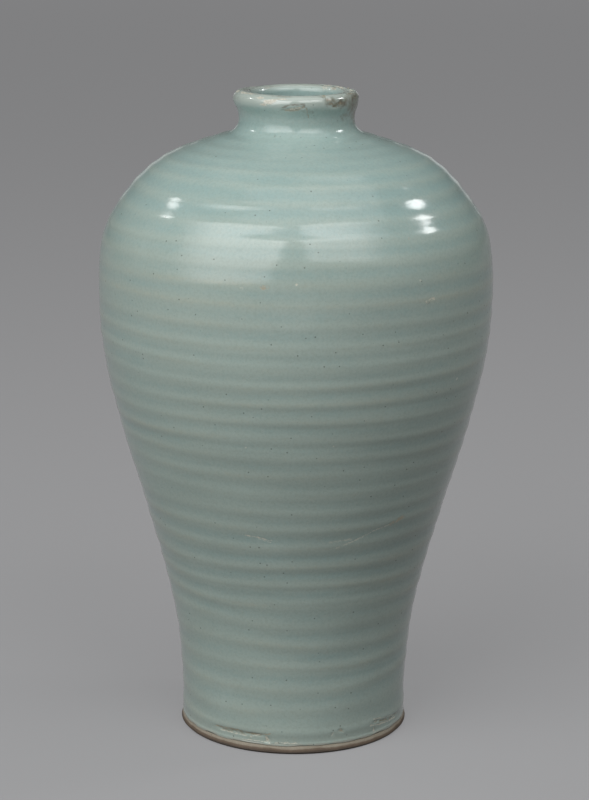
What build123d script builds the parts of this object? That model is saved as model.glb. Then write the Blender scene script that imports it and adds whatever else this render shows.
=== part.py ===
"""Ribbed meiping vase: thrown stoneware sections, luted together and coated with glaze.

Millimetres. Z is the axis of the vase and its foot stands on Z = 0.
Outlines are drawn with the radius across and the height up, then turned about the axis.
"""
import math
import os

from build123d import *

# Foot: a turned ring, bare of glaze, round a shallow recess
FOOT_RADIUS = 46.4
FOOT_BEVEL = 0.9
FOOT_TAPER = 0.8
RECESS_RADIUS = 36.0
RECESS_DEPTH = 3.6
RECESS_FILLET = 1.6
GLAZE_LINE_HEIGHT = 3.4

# Crest line of the finished wall: radii, and rises from one station to the next
FOOT_GROOVE_RADIUS = 44.8
FOOT_GROOVE_RISE = 1.6
CALF_RADIUS = 46.9
CALF_RISE = 35.0
WAIST_RADIUS = 59.8
WAIST_RISE = 53.6
FLANK_RADIUS = 72.0
FLANK_RISE = 42.4
BELLY_RADIUS = 79.0
BELLY_RISE = 47.6
SHOULDER_RADIUS = 72.0
SHOULDER_RISE = 28.4
CROWN_RADIUS = 60.2
CROWN_RISE = 16.0
NECK_ROOT_RADIUS = 27.0
NECK_ROOT_RISE = 15.0
WAIST_LEAN = 16.7
NECK_ROOT_LEAN = -72.5

# Neck and rolled lip
NECK_RADIUS = 22.9
NECK_RISE = 6.0
LIP_RADIUS = 24.7
LIP_RISE = 8.0
LIP_ROLL = 3.0
LIP_DROP = 0.6
BORE_RADIUS = 19.0

# Throwing ribs: how many on each section, and how deep the fingers pressed the clay
LOWER_RIBS = 10
MIDDLE_RIBS = 12
SHOULDER_RIBS = 11
RIB_DEPTH = 0.62
SHOULDER_RIB_DEPTH = 0.44
NECK_RIB_DEPTH = 0.26
CREST_SHARE = 0.36

# Clay wall and floor
WALL = 5.6
FLOOR = 8.6
FLOOR_CORNER = 15.0
BORE_FLARE = 3.5

# Glaze: thin on the crests and pooled in the grooves
GLAZE_COAT = 0.5
GLAZE_FILL = 0.4
GLAZE_ROLL = 0.5
INNER_GLAZE = 0.4
BASE_GLAZE = 0.4
BASE_GLAZE_MARGIN = 2.6

# Luted seams: a groove in the lower rim, a tongue on the upper one, a layer of slip between
SLIP = 0.6
TONGUE_WIDTH = 2.4
TONGUE_DEPTH = 1.3

# How far the cutting outlines of the seams reach past the clay
CUT_MARGIN = 10.0

# Heights of the stations
FOOT_GROOVE_HEIGHT = GLAZE_LINE_HEIGHT + FOOT_GROOVE_RISE
CALF_HEIGHT = FOOT_GROOVE_HEIGHT + CALF_RISE
WAIST_HEIGHT = CALF_HEIGHT + WAIST_RISE
FLANK_HEIGHT = WAIST_HEIGHT + FLANK_RISE
BELLY_HEIGHT = FLANK_HEIGHT + BELLY_RISE
SHOULDER_HEIGHT = BELLY_HEIGHT + SHOULDER_RISE
CROWN_HEIGHT = SHOULDER_HEIGHT + CROWN_RISE
NECK_ROOT_HEIGHT = CROWN_HEIGHT + NECK_ROOT_RISE
NECK_HEIGHT = NECK_ROOT_HEIGHT + NECK_RISE
LIP_HEIGHT = NECK_HEIGHT + LIP_RISE
RIM_HEIGHT = LIP_HEIGHT + LIP_ROLL
MOUTH_HEIGHT = RIM_HEIGHT - LIP_DROP
FLOOR_HEIGHT = RECESS_DEPTH + FLOOR
GLAZE_LINE_RADIUS = FOOT_RADIUS - FOOT_TAPER
BORE_FOOT_HEIGHT = NECK_ROOT_HEIGHT - BORE_FLARE
NECK_SEAM_HEIGHT = NECK_ROOT_HEIGHT + SLIP
BELOW = -CUT_MARGIN
ABOVE = RIM_HEIGHT + CUT_MARGIN
BEYOND = BELLY_RADIUS + CUT_MARGIN

UP = (0, 1)
INWARDS = (-1, 0)
OUTWARDS = (1, 0)
HALF_TURN = 180


def leaning(degrees):
    """Direction that leans outwards from upright by an angle."""
    return (math.sin(math.radians(degrees)), math.cos(math.radians(degrees)))


# The crest line, one curve for each thrown section
with BuildLine() as lower_crest_line:
    Spline(
        (FOOT_GROOVE_RADIUS, FOOT_GROOVE_HEIGHT),
        (CALF_RADIUS, CALF_HEIGHT),
        (WAIST_RADIUS, WAIST_HEIGHT),
        tangents=[UP, leaning(WAIST_LEAN)],
    )

with BuildLine() as middle_crest_line:
    Spline(
        (WAIST_RADIUS, WAIST_HEIGHT),
        (FLANK_RADIUS, FLANK_HEIGHT),
        (BELLY_RADIUS, BELLY_HEIGHT),
        tangents=[leaning(WAIST_LEAN), UP],
    )

with BuildLine() as shoulder_crest_line:
    Spline(
        (BELLY_RADIUS, BELLY_HEIGHT),
        (SHOULDER_RADIUS, SHOULDER_HEIGHT),
        (CROWN_RADIUS, CROWN_HEIGHT),
        (NECK_ROOT_RADIUS, NECK_ROOT_HEIGHT),
        tangents=[UP, leaning(NECK_ROOT_LEAN)],
    )

lower_wall = lower_crest_line.edge()
middle_wall = middle_crest_line.edge()
shoulder_wall = shoulder_crest_line.edge()

# Each section's crest line, its ribs, and the depth of its first and last groove
RIBBED_SECTIONS = [
    (lower_wall, LOWER_RIBS, RIB_DEPTH, RIB_DEPTH),
    (middle_wall, MIDDLE_RIBS, RIB_DEPTH, RIB_DEPTH),
    (shoulder_wall, SHOULDER_RIBS, SHOULDER_RIB_DEPTH, NECK_RIB_DEPTH),
]

# Where the inside follows the wall, as a section's crest line and a share of its length
INSIDE_STATIONS = [
    (lower_wall, 0.4),
    (lower_wall, 0.7),
    (lower_wall, 1.0),
    (middle_wall, 0.5),
    (middle_wall, 1.0),
    (shoulder_wall, 0.4),
    (shoulder_wall, 0.7),
    (shoulder_wall, 0.88),
]


def wall_point(crest_line, distance, inset):
    """Point a distance along a crest line, set into the wall."""
    place = crest_line.position_at(distance, position_mode=PositionMode.LENGTH)
    along = crest_line.tangent_at(distance, position_mode=PositionMode.LENGTH)
    return place + Vector(-along.Y, along.X) * inset


def ribbed_wall(coat, fill):
    """Draw the wall under a coat, its grooves part filled, and give its lowest and highest point."""
    hollows = []
    crests = []
    for crest_line, ribs, first_depth, last_depth in RIBBED_SECTIONS:
        pitch = crest_line.length / ribs
        half_crest = CREST_SHARE * pitch / 2
        for rib in range(ribs):
            depth = (1 - fill) * (first_depth + (last_depth - first_depth) * rib / ribs)
            top = (rib + 0.5) * pitch
            hollows.append(wall_point(crest_line, rib * pitch, coat + depth))
            flank = coat + depth * CREST_SHARE
            crests.append([
                wall_point(crest_line, top - half_crest, flank),
                wall_point(crest_line, top, coat),
                wall_point(crest_line, top + half_crest, flank),
            ])
    neck_root = wall_point(shoulder_wall, shoulder_wall.length, coat + (1 - fill) * NECK_RIB_DEPTH)
    TangentArc(hollows[0], crests[0][0], tangent=UP)
    for crest in crests:
        ThreePointArc(*crest)
    for below, hollow, above in zip(crests, hollows[1:], crests[1:]):
        ThreePointArc(below[2], hollow, above[0])
    TangentArc(neck_root, crests[-1][2], tangent=leaning(NECK_ROOT_LEAN + HALF_TURN))
    return hollows[0], neck_root


def neck_and_lip(neck_root, coat, mouth_radius):
    """Draw the neck and the rolled lip under a coat, from the neck's root to the edge of the bore."""
    TangentArc(neck_root, (NECK_RADIUS - coat, NECK_HEIGHT), tangent=leaning(NECK_ROOT_LEAN))
    Spline(
        (NECK_RADIUS - coat, NECK_HEIGHT),
        (LIP_RADIUS - coat, LIP_HEIGHT),
        tangents=[UP, UP],
    )
    TangentArc(
        (LIP_RADIUS - coat, LIP_HEIGHT),
        (LIP_RADIUS - LIP_ROLL, RIM_HEIGHT - coat),
        tangent=UP,
    )
    TangentArc(
        (LIP_RADIUS - LIP_ROLL, RIM_HEIGHT - coat),
        (mouth_radius, MOUTH_HEIGHT),
        tangent=INWARDS,
    )


def inside_wall(coat):
    """Draw the inside from the edge of the bore down to the axis, raised by a coat."""
    inset = GLAZE_COAT + WALL + coat
    bore = BORE_RADIUS - coat
    floor = FLOOR_HEIGHT + coat
    corner_height = FLOOR_HEIGHT + FLOOR_CORNER
    corner_distance = corner_height - FOOT_GROOVE_HEIGHT
    corner_top = wall_point(lower_wall, corner_distance, inset)
    Line((bore, MOUTH_HEIGHT), (bore, BORE_FOOT_HEIGHT))
    Spline(
        corner_top,
        *[wall_point(line, share * line.length, inset) for line, share in INSIDE_STATIONS],
        (bore, BORE_FOOT_HEIGHT),
        tangents=[lower_wall.tangent_at(corner_distance, position_mode=PositionMode.LENGTH), UP],
    )
    floor_edge = (corner_top.X - FLOOR_CORNER, floor)
    Spline(floor_edge, corner_top, tangents=[OUTWARDS, UP])
    Line((0, floor), floor_edge)


# The whole clay body's outline, which the seams part into sections
with BuildSketch(Plane.XZ) as clay_profile:
    with BuildLine():
        Line((0, FLOOR_HEIGHT), (0, RECESS_DEPTH))
        Line((0, RECESS_DEPTH), (RECESS_RADIUS - RECESS_FILLET, RECESS_DEPTH))
        TangentArc(
            (RECESS_RADIUS - RECESS_FILLET, RECESS_DEPTH),
            (RECESS_RADIUS, RECESS_DEPTH - RECESS_FILLET),
            tangent=OUTWARDS,
        )
        Polyline(
            (RECESS_RADIUS, RECESS_DEPTH - RECESS_FILLET),
            (RECESS_RADIUS, FOOT_BEVEL),
            (RECESS_RADIUS + FOOT_BEVEL, 0),
            (FOOT_RADIUS - FOOT_BEVEL, 0),
            (FOOT_RADIUS, FOOT_BEVEL),
            (GLAZE_LINE_RADIUS, GLAZE_LINE_HEIGHT),
        )
        clay_foot, clay_root = ribbed_wall(GLAZE_COAT, 0)
        Line((GLAZE_LINE_RADIUS, GLAZE_LINE_HEIGHT), clay_foot)
        neck_and_lip(clay_root, GLAZE_COAT, BORE_RADIUS)
        inside_wall(0)
    make_face()


def seam_line(height, radius):
    """Points of a seam from the axis outwards, dipping into the groove of the lower rim."""
    return [
        (0, height),
        (radius - TONGUE_WIDTH / 2, height),
        (radius, height - TONGUE_DEPTH),
        (radius + TONGUE_WIDTH / 2, height),
        (BEYOND, height),
    ]


def band(lower_edge, upper_edge):
    """Keep what lies between two lines that run from the axis outwards."""
    Polygon(*lower_edge, *reversed(upper_edge), align=None, mode=Mode.INTERSECT)


# Seams at mid wall, each with the face of the lower rim and, a layer of slip higher, the upper one
WAIST_JOINT_RADIUS = WAIST_RADIUS - GLAZE_COAT - RIB_DEPTH / 2 - WALL / 2
BELLY_JOINT_RADIUS = BELLY_RADIUS - GLAZE_COAT - RIB_DEPTH / 2 - WALL / 2
NECK_JOINT_RADIUS = (NECK_ROOT_RADIUS - GLAZE_COAT + BORE_RADIUS) / 2
BOTTOM = [(0, BELOW), (BEYOND, BELOW)]
TOP = [(0, ABOVE), (BEYOND, ABOVE)]
waist_rim = seam_line(WAIST_HEIGHT - SLIP / 2, WAIST_JOINT_RADIUS)
waist_seat = seam_line(WAIST_HEIGHT + SLIP / 2, WAIST_JOINT_RADIUS)
belly_rim = seam_line(BELLY_HEIGHT - SLIP / 2, BELLY_JOINT_RADIUS)
belly_seat = seam_line(BELLY_HEIGHT + SLIP / 2, BELLY_JOINT_RADIUS)
neck_rim = seam_line(NECK_SEAM_HEIGHT - SLIP / 2, NECK_JOINT_RADIUS)
neck_seat = seam_line(NECK_SEAM_HEIGHT + SLIP / 2, NECK_JOINT_RADIUS)

# Lower body: foot ring, floor and the flaring wall up to the waist seam
with BuildPart() as lower_body:
    with BuildSketch(Plane.XZ):
        add(clay_profile.sketch_local)
        band(BOTTOM, waist_rim)
    revolve(axis=Axis.Z)

# Slip that lutes the middle section onto the lower one
with BuildPart() as waist_luting:
    with BuildSketch(Plane.XZ):
        add(clay_profile.sketch_local)
        band(waist_rim, waist_seat)
    revolve(axis=Axis.Z)

# Middle body: the wall from the waist to its widest
with BuildPart() as middle_body:
    with BuildSketch(Plane.XZ):
        add(clay_profile.sketch_local)
        band(waist_seat, belly_rim)
    revolve(axis=Axis.Z)

# Slip at the widest seam
with BuildPart() as belly_luting:
    with BuildSketch(Plane.XZ):
        add(clay_profile.sketch_local)
        band(belly_rim, belly_seat)
    revolve(axis=Axis.Z)

# Shoulder: the dome from the belly in to the neck
with BuildPart() as shoulder:
    with BuildSketch(Plane.XZ):
        add(clay_profile.sketch_local)
        band(belly_seat, neck_rim)
    revolve(axis=Axis.Z)

# Slip under the neck
with BuildPart() as neck_luting:
    with BuildSketch(Plane.XZ):
        add(clay_profile.sketch_local)
        band(neck_rim, neck_seat)
    revolve(axis=Axis.Z)

# Neck: a short waisted collar with a rolled lip, thrown apart and set on the shoulder
with BuildPart() as neck:
    with BuildSketch(Plane.XZ):
        add(clay_profile.sketch_local)
        band(neck_seat, TOP)
    revolve(axis=Axis.Z)

# Outer glaze: over the ribs, the neck and the lip, ending in a rolled edge above the bare foot
with BuildPart() as outer_glaze:
    with BuildSketch(Plane.XZ):
        with BuildLine():
            inner_foot, inner_root = ribbed_wall(GLAZE_COAT, 0)
            neck_and_lip(inner_root, GLAZE_COAT, BORE_RADIUS)
            Line((BORE_RADIUS, MOUTH_HEIGHT), (BORE_RADIUS - INNER_GLAZE, MOUTH_HEIGHT))
            outer_foot, outer_root = ribbed_wall(0, GLAZE_FILL)
            neck_and_lip(outer_root, 0, BORE_RADIUS - INNER_GLAZE)
            Line(inner_foot, (GLAZE_LINE_RADIUS, GLAZE_LINE_HEIGHT))
            Spline(
                (GLAZE_LINE_RADIUS, GLAZE_LINE_HEIGHT),
                (GLAZE_LINE_RADIUS + GLAZE_ROLL / 2, GLAZE_LINE_HEIGHT + GLAZE_ROLL),
                outer_foot,
                tangents=[OUTWARDS, UP],
            )
        make_face()
    revolve(axis=Axis.Z)

# Inner glaze: poured inside, from the edge of the bore to the floor
with BuildPart() as inner_glaze:
    with BuildSketch(Plane.XZ):
        with BuildLine():
            inside_wall(0)
            inside_wall(INNER_GLAZE)
            Line((BORE_RADIUS, MOUTH_HEIGHT), (BORE_RADIUS - INNER_GLAZE, MOUTH_HEIGHT))
            Line((0, FLOOR_HEIGHT), (0, FLOOR_HEIGHT + INNER_GLAZE))
        make_face()
    revolve(axis=Axis.Z)

# Base glaze: a brushed disc inside the foot ring
with BuildPart() as base_glaze:
    with BuildSketch(Plane.XZ):
        with BuildLine():
            disc_radius = RECESS_RADIUS - BASE_GLAZE_MARGIN
            Polyline(
                (disc_radius, RECESS_DEPTH),
                (0, RECESS_DEPTH),
                (0, RECESS_DEPTH - BASE_GLAZE),
                (disc_radius - BASE_GLAZE, RECESS_DEPTH - BASE_GLAZE),
            )
            TangentArc(
                (disc_radius - BASE_GLAZE, RECESS_DEPTH - BASE_GLAZE),
                (disc_radius, RECESS_DEPTH),
                tangent=OUTWARDS,
            )
        make_face()
    revolve(axis=Axis.Z)

# One STEP file for each piece
PIECES = {
    "lower_body": lower_body,
    "waist_luting": waist_luting,
    "middle_body": middle_body,
    "belly_luting": belly_luting,
    "shoulder": shoulder,
    "neck_luting": neck_luting,
    "neck": neck,
    "outer_glaze": outer_glaze,
    "inner_glaze": inner_glaze,
    "base_glaze": base_glaze,
}

os.makedirs("parts", exist_ok=True)
for name, piece in PIECES.items():
    piece.part.label = name
    export_step(piece.part, f"parts/{name}.step")
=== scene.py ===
"""Looks of the ribbed celadon meiping vase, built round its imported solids.

Lengths are in millimetres until a mesh, lamp or camera is made, and Blender's own are metres.
Azimuth is measured at the vase's axis in degrees, from the front (-Y) towards the right (+X).
"""

import math
from collections import namedtuple

import bpy
import numpy as np
from mathutils import Matrix, Vector


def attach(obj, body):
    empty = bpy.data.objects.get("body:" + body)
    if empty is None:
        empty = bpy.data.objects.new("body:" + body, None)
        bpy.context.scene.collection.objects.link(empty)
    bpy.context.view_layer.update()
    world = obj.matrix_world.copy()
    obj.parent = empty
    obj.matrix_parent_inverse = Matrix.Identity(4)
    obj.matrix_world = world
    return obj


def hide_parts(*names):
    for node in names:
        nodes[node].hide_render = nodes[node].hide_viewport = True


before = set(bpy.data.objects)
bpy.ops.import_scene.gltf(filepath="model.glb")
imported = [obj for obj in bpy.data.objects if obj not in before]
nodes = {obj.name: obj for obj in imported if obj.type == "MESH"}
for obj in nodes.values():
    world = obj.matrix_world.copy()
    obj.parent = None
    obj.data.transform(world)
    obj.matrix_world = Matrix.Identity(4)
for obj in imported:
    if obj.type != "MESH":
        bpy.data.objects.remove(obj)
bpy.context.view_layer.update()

MM = 0.001
SEED = 20

# Meshes: rows along the outline, segments round the axis, and what counts as the seam of a turned solid
SEGMENTS = 420
INSIDE_SEGMENTS = 240
FINE_STEP = 0.1
BODY_STEP = 0.8
LIP_STEP = 0.4
FOOT_STEP = 0.45
CLAY_SIDE_STEP = 1.9
NECK_STEP = 0.6
INSIDE_STEP = 2.5
SEAM_WIDTH = 0.001
SEAM_DIGITS = 3

# Heights that bound the ribbed body, the lip and the foot
RIBS_START = 6.0
RIBS_FULL = 12.0
RIBS_FADE = 232.0
RIBS_END = 240.0
LIP_ZONE_FOOT = 249.0
LIP_FOOT = 250.0
RIM_FOOT = 253.5
RIM_FULL = 257.5
LIP_TOP = 259.5
FOOT_ZONE_TOP = 12.0

# Seeded waves: their turns round the axis, their lengths along the outline, and how many are added up
Wave = namedtuple("Wave", "orders lengths terms")
WAVES = {
    "drift": Wave((0, 4), (24.0, 90.0), 14),
    "strength": Wave((0, 3), (14.0, 70.0), 14),
    "dents": Wave((1, 9), (18.0, 80.0), 24),
    "rings": Wave((0, 1), (2.2, 5.0), 24),
    "mouth": Wave((2, 12), (1.0, 2.0), 14),
    "edge": Wave((2, 26), (1.0, 2.0), 18),
    "rough": Wave((6, 60), (1.2, 5.0), 30),
}

# Hand of the potter: how far the ribs stray from even rings, and how strong they are by height
RIB_BLUR = 5.0
RIB_DRIFT = 0.8
RIB_STRENGTHS = [(0.0, 0.40), (50.0, 0.44), (75.0, 0.54), (95.0, 0.48), (120.0, 0.32), (150.0, 0.45),
                 (180.0, 0.42), (195.0, 0.26), (207.0, 0.42), (215.0, 0.80), (223.0, 1.15), (240.0, 1.25)]
RIB_STRENGTH_SPREAD = 0.14
LEAST_RIB_STRENGTH = 0.15
MOST_RIB_STRENGTH = 1.3
DENT_DEPTH = 0.10
RING_DEPTH = 0.015

# Lower edge of the glaze: its greatest lift, shares of that, and how far up its pale hem reaches
GLAZE_EDGE_LIFT = 0.9
EDGE_LIFT_MEAN = 0.35
EDGE_LIFT_SPREAD = 0.4
HEM_FULL = 0.5
HEM_END = 2.3

# Chips: how rough, steep and deep, where they set in above the lip's foot, and the coat kept elsewhere
CHIP_ROUGHNESS = 0.45
CHIP_STEEPNESS = 1.6
CHIP_LIMIT = 1.3
CHIP_RISE = 2.0
LEAST_WEIGHT = 1e-6
LEAST_COAT = 0.14
CLAY_REACH = 1.5

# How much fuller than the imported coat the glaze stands, by height, and the top of the ledge under it
FULLNESS = [(4.0, 1.25), (8.0, 1.15), (14.0, 1.15), (20.0, 1.05), (60.0, 0.95), (110.0, 0.95),
            (140.0, 0.85), (160.0, 0.45), (175.0, -0.08), (188.0, -0.12), (198.0, 0.50), (206.0, 0.95),
            (213.0, 0.75), (221.0, 0.0)]
FULLNESS_BLUR = 3.0
LEDGE_TOP = 4.7

# How far the back of the shoulder sags, and the heights where that starts, is full and ends
SHOULDER_SAG = 0.45
SAG_FOOT = 222.0
SAG_FULL = 230.0
SAG_END = 246.0

# Depth of the glaze as a share: on the wall, more on the shoulder and under the lip, less at the foot
WALL_POOL = 0.56
SHOULDER_POOL = 0.30
SHOULDER_POOL_REACH = (192.0, 228.0)
NECK_POOL = 0.02
NECK_HOLLOW = 249.0
NECK_HOLLOW_REACH = 4.0
FOOT_POOL = -0.16
FOOT_POOL_REACH = (6.0, 14.0)
MOST_POOL = 1.4
INSIDE_POOL = 1.0
BASE_POOL = 0.35

# How much thinner it is on the crests: less on the shoulder, and more where they show as pale lines
CREST_THINNING = 0.48
SHOULDER_THINNING = -0.24
LINES_THINNING = 0.55
LINES_HEIGHT = 193.0
LINES_REACH = 13.0

# Drab top of the rim, most of all in front, and its dark front edge, which is painted shade of the gap to
# the inner wall over brownish wear: angles in radians, widths from the mouth
DRAB_SPREAD = 0.3
DRAB_ALL_ROUND = 0.30
DRAB_FRONT = 0.70
DRAB_MIDDLE = 0.2
DRAB_REACH = 0.9
DRAB_WIDTH = (0.8, 3.2)
# Painted shade of the gap at the rim's front edge: where it starts and ends round the axis, and how far in
# from the mouth it reaches
GAP_SHADE_START = (-0.35, -0.25)
GAP_SHADE_END = (0.55, 0.70)
GAP_SHADE_WIDTH = (0.3, 0.9)

# The lip is uneven: how far its top is down, and how far its roll swells out, by azimuth
LIP_DROPS = [(-180, 0.05), (-165, 0.15), (-150, 0.40), (-120, 0.40), (-95, 0.20), (-60, 0.40), (-20, 0.60),
             (20, 0.60), (45, 0.45), (70, 0.30), (92, 0.40), (105, 0.02), (150, 0.02)]
LIP_SWELLS = [(-90, 0.50), (0, 0.20), (90, -0.30), (180, 0.0)]
LIP_ROLL = 256.0
LIP_ROLL_REACH = 2.5

# Worn places: where, how far they reach round and along the outline, how deep, how bare and how brown
Mark = namedtuple("Mark", "azimuth radius height around along depth bare brown")
LIP_MARKS = [
    Mark(-36, 24.1, 259.0, 2.6, 0.9, 0.08, 0.95, 0.05),
    Mark(-31, 24.6, 256.3, 2.2, 0.8, 0.08, 0.90, 0.05),
    Mark(-26, 24.6, 257.6, 2.8, 1.2, 0.12, 1.15, 0.05),
    Mark(-22, 24.5, 258.2, 2.0, 1.0, 0.12, 1.00, 0.05),
    Mark(-15, 24.2, 258.9, 4.4, 0.5, 0.08, 0.90, 0.40),
    Mark(-84, 23.4, 259.6, 3.6, 1.2, 0.10, 0.95, 0.05),
    Mark(-65, 22.8, 259.9, 4.6, 1.2, 0.10, 0.90, 0.05),
    Mark(-52, 22.6, 260.0, 3.6, 1.0, 0.10, 0.85, 0.10),
    Mark(-68, 24.6, 257.7, 0.45, 0.45, 0.10, 0.85, 1.00),
    Mark(-80, 24.7, 257.2, 0.5, 0.5, 0.10, 0.85, 1.00),
    Mark(-9, 23.9, 254.5, 2.0, 0.7, 0.15, 0.80, 0.45),
    Mark(-4.4, 24.1, 254.9, 2.2, 0.7, 0.18, 0.90, 0.15),
    Mark(1.5, 24.4, 255.5, 2.0, 0.6, 0.15, 0.80, 0.45),
    Mark(5.5, 24.5, 255.9, 1.0, 0.55, 0.15, 0.80, 0.85),
    Mark(25.4, 23.0, 259.8, 1.1, 0.8, 0.30, 0.95, 0.85),
    Mark(28.9, 24.3, 258.4, 1.0, 0.9, 0.25, 0.90, 0.60),
    Mark(32.3, 24.7, 256.7, 1.3, 0.9, 0.25, 0.95, 0.70),
    Mark(36.8, 24.4, 255.5, 1.6, 0.7, 0.25, 0.95, 0.75),
    Mark(43.8, 24.7, 256.7, 1.2, 0.8, 0.30, 0.90, 0.95),
    Mark(67, 22.5, 260.0, 4.0, 1.2, 0.45, 0.80, 0.70),
    Mark(70, 24.5, 257.9, 2.6, 1.6, 0.20, 0.70, 0.80),
    Mark(77, 24.0, 254.4, 2.4, 2.0, 0.12, 0.62, 0.75),
    Mark(72, 23.1, 251.5, 2.2, 1.4, 0.08, 0.50, 0.60),
    Mark(90, 21.5, 260.0, 4.0, 1.6, 0.30, 0.85, 0.35),
    Mark(114, 21.7, 260.0, 3.2, 1.9, 1.10, 0.95, 0.75),
    Mark(127, 21.0, 260.0, 4.0, 1.6, 0.35, 0.90, 0.10),
    Mark(144, 20.8, 260.0, 3.6, 1.2, 0.20, 0.85, 0.05),
    Mark(-128, 22.0, 260.0, 3.0, 1.2, 0.25, 0.80, 0.20),
    Mark(-160, 24.4, 258.1, 2.6, 0.9, 0.20, 0.80, 0.30),
]
INSIDE_MARKS = [
    Mark(128, 19.5, 259.3, 3.0, 1.4, 0.0, 0.90, 0.55),
    Mark(142, 19.5, 258.8, 3.4, 1.8, 0.0, 0.85, 0.15),
    Mark(-140, 19.5, 259.4, 3.0, 0.8, 0.0, 0.70, 0.10),
]
FOOT_MARKS = [
    Mark(-38, 44.7, 7.0, 3.4, 0.55, 0.25, 0.50, 0.35),
    Mark(-28, 44.6, 7.3, 4.6, 0.60, 0.32, 0.60, 0.50),
    Mark(-19, 44.6, 7.4, 3.4, 0.50, 0.32, 0.60, 0.45),
    Mark(-13, 44.9, 5.5, 0.9, 1.4, 0.30, 0.85, 0.00),
    Mark(-20, 45.2, 4.8, 5.0, 0.30, 0.15, 0.55, 0.05),
    Mark(-4, 45.3, 4.5, 4.5, 0.25, 0.15, 0.55, 0.05),
    Mark(20, 44.5, 7.5, 0.5, 0.7, 0.20, 0.75, 0.10),
    Mark(24.5, 44.5, 8.5, 0.8, 0.8, 0.25, 0.80, 0.55),
    Mark(47, 44.5, 8.7, 2.2, 0.60, 0.28, 0.70, 0.35),
    Mark(54, 44.6, 7.9, 3.0, 0.60, 0.32, 0.75, 0.55),
    Mark(64, 44.7, 6.9, 3.2, 0.50, 0.28, 0.70, 0.25),
    Mark(45.5, 45.1, 5.1, 1.0, 0.80, 0.22, 0.75, 0.05),
    Mark(118, 44.7, 6.9, 4.0, 0.50, 0.28, 0.85, 0.35),
    Mark(-112, 44.8, 6.1, 3.4, 0.45, 0.25, 0.80, 0.25),
    Mark(175, 44.7, 6.7, 5.0, 0.45, 0.28, 0.85, 0.40),
]

# Discoloured stretch of the lip and neck, right of the front
Stain = namedtuple("Stain", "azimuth radius height around along strength")
STAINS = [
    Stain(32, 24.5, 257.8, 3.4, 2.4, 0.70),
    Stain(46, 24.5, 256.5, 5.0, 2.8, 0.85),
    Stain(70, 24.0, 256.0, 8.0, 6.0, 1.00),
    Stain(82, 23.2, 251.8, 7.0, 5.0, 0.95),
    Stain(56, 23.0, 251.1, 6.0, 2.4, 0.50),
    Stain(12, 23.9, 253.9, 4.0, 1.6, 0.40),
    Stain(-3, 24.0, 254.7, 4.6, 1.3, 0.60),
    Stain(-14, 23.0, 259.8, 5.0, 0.7, 0.55),
]

# Scars and fired-in spots on the glaze: points as azimuth and height, half the width, colour, strength
Scar = namedtuple("Scar", "points width colour strength")
CREAM = (0.62, 0.60, 0.50, 1.0)
TAN = (0.40, 0.32, 0.21, 1.0)
DRAB = (0.23, 0.20, 0.13, 1.0)
UMBER = (0.13, 0.10, 0.07, 1.0)
WAIST_SCARS = [
    Scar([(-19.2, 94.4), (-14.0, 93.9), (-8.0, 92.5)], 0.24, CREAM, 0.80),
    Scar([(-13.0, 93.1), (-8.5, 91.7)], 0.16, CREAM, 0.50),
    Scar([(13.0, 91.7), (22.4, 92.4)], 0.34, CREAM, 0.40),
    Scar([(16.0, 89.1), (22.6, 91.4), (29.6, 94.7), (40.7, 97.3)], 0.26, CREAM, 0.58),
    Scar([(37.5, 96.5), (43.0, 98.5)], 0.80, TAN, 0.60),
]
BODY_SPOTS = [
    Scar([(-14.9, 193.9)], 0.45, CREAM, 0.80),
    Scar([(-8.9, 194.5), (-7.9, 194.8)], 0.75, TAN, 0.70),
    Scar([(0.2, 195.9)], 0.40, CREAM, 0.80),
    Scar([(35.1, 210.4)], 0.50, TAN, 0.60),
    Scar([(36.4, 195.0)], 0.45, CREAM, 0.60),
    Scar([(38.6, 186.7), (41.0, 187.5)], 0.60, CREAM, 0.75),
    Scar([(38.4, 185.8), (39.4, 186.2)], 0.45, UMBER, 0.60),
    Scar([(54.7, 153.5)], 0.55, CREAM, 0.45),
    Scar([(11.9, 133.0)], 0.45, CREAM, 0.70),
    Scar([(-15.0, 131.8)], 0.40, CREAM, 0.45),
    Scar([(-19.7, 243.7), (-19.6, 244.1)], 0.28, UMBER, 0.80),
]
LIP_SCARS = [
    Scar([(-13.0, 255.0), (-7.6, 256.0), (-1.0, 256.4), (6.5, 256.4), (7.0, 255.5)], 0.30, UMBER, 0.65),
    Scar([(-10.0, 253.8), (0.6, 254.2), (6.4, 255.4)], 0.26, DRAB, 0.65),
    Scar([(8.5, 255.0), (10.1, 252.9), (11.2, 251.1)], 0.24, DRAB, 0.65),
    Scar([(26.0, 259.7), (28.9, 258.6), (32.3, 256.9), (36.8, 255.7), (43.8, 256.7)], 0.40, DRAB, 0.75),
]
FOOT_SCARS = [
    Scar([(-38.0, 7.1), (-17.0, 7.4)], 0.60, DRAB, 0.60),
    Scar([(-42.8, 7.5), (-31.5, 8.2), (-18.3, 7.6), (-11.5, 8.2)], 0.26, TAN, 0.75),
    Scar([(-39.6, 6.5), (-20.6, 6.3), (-16.8, 7.7)], 0.24, CREAM, 0.80),
    Scar([(-13.7, 6.8), (-11.9, 4.7)], 0.42, CREAM, 0.90),
    Scar([(-26.6, 4.7), (-14.2, 4.9)], 0.20, CREAM, 0.80),
    Scar([(-9.0, 4.7), (1.8, 4.6)], 0.22, CREAM, 0.80),
    Scar([(45.9, 8.7), (61.6, 7.0)], 0.42, DRAB, 0.75),
    Scar([(44.9, 10.1), (67.4, 7.3)], 0.24, CREAM, 0.75),
    Scar([(42.7, 7.9), (48.0, 7.1), (64.8, 6.2)], 0.28, CREAM, 0.85),
    Scar([(45.2, 5.9), (45.7, 4.9)], 0.45, CREAM, 0.80),
    Scar([(19.8, 7.0), (20.6, 8.1)], 0.26, CREAM, 0.75),
    Scar([(23.0, 7.9), (24.2, 9.5), (25.8, 7.8)], 0.26, TAN, 0.80),
]

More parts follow.
